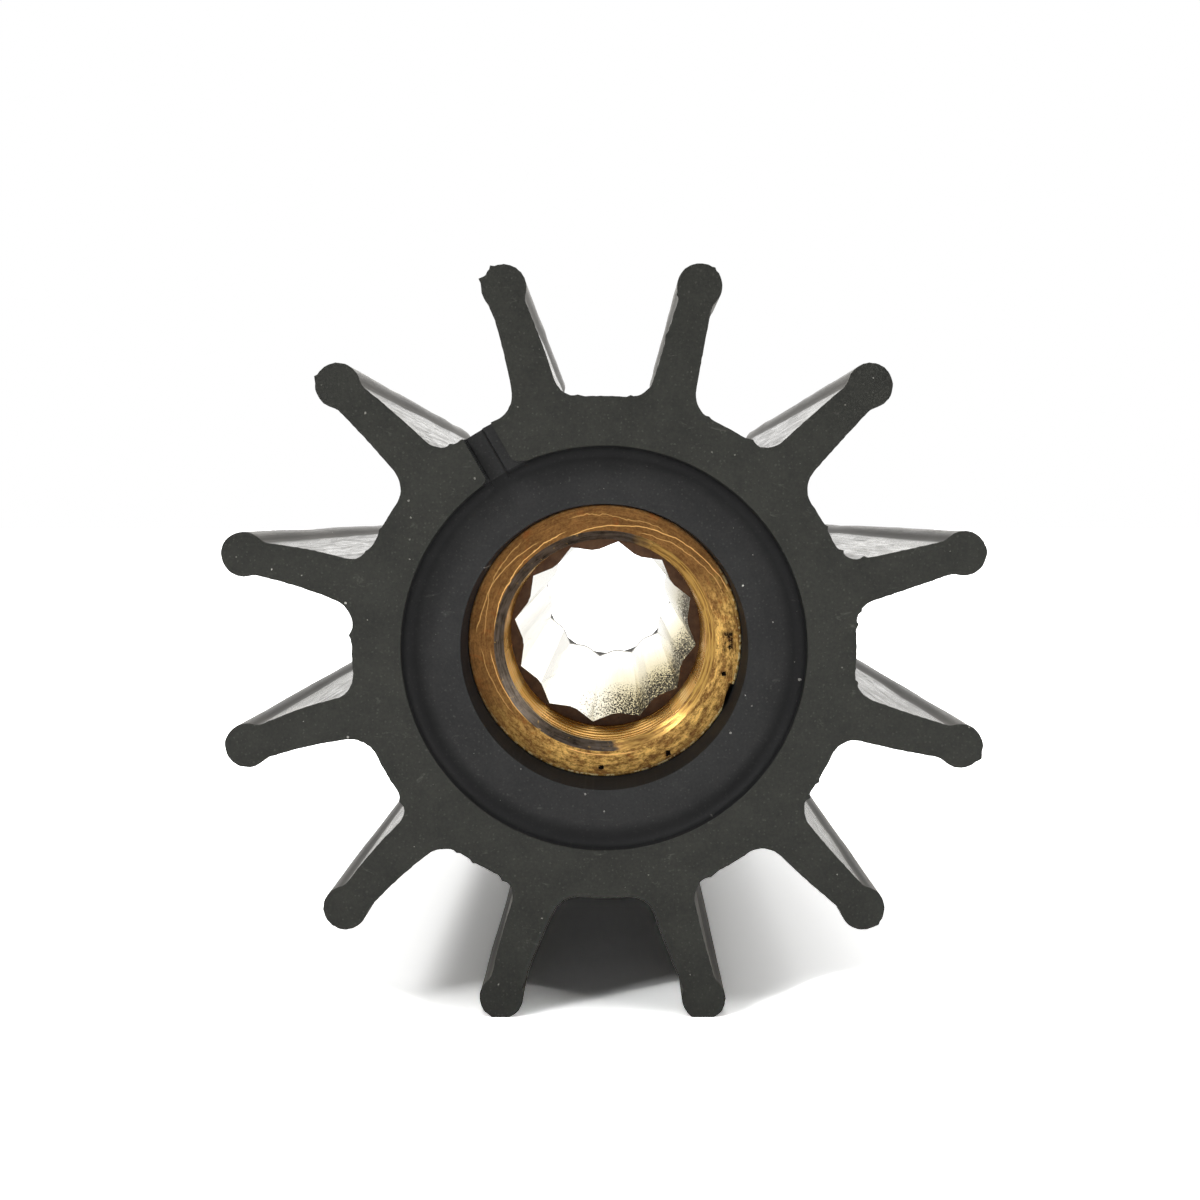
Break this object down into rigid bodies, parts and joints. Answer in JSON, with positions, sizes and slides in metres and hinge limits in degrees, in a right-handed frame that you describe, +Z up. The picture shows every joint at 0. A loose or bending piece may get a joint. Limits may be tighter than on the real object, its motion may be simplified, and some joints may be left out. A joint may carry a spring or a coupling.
{
  "type": "rubber pump impeller",
  "caption": "Moulded rubber impeller with straight round-tipped vanes on a hub, bonded to a metal insert with a splined bore.",
  "frame": {"origin": "on the shaft axis, halfway along the rubber wheel, inside the splined length of the insert", "axes": "+Y along the shaft axis, from the end with the vent groove to the plain end; +Z up as the wheel stands on two of its vanes; +X to the right seen from the vent groove end"},
  "size_m": [0.0922, 0.0888, 0.0916],
  "materials": {
    "rubber": "matte, moulded, dusty",
    "insert_metal": "turned bronze, aged and stained, splines bright"
  },
  "bodies": {
    "root": {"rubber_body": "rubber", "spline_insert": "insert_metal"}
  },
  "joints": []
}
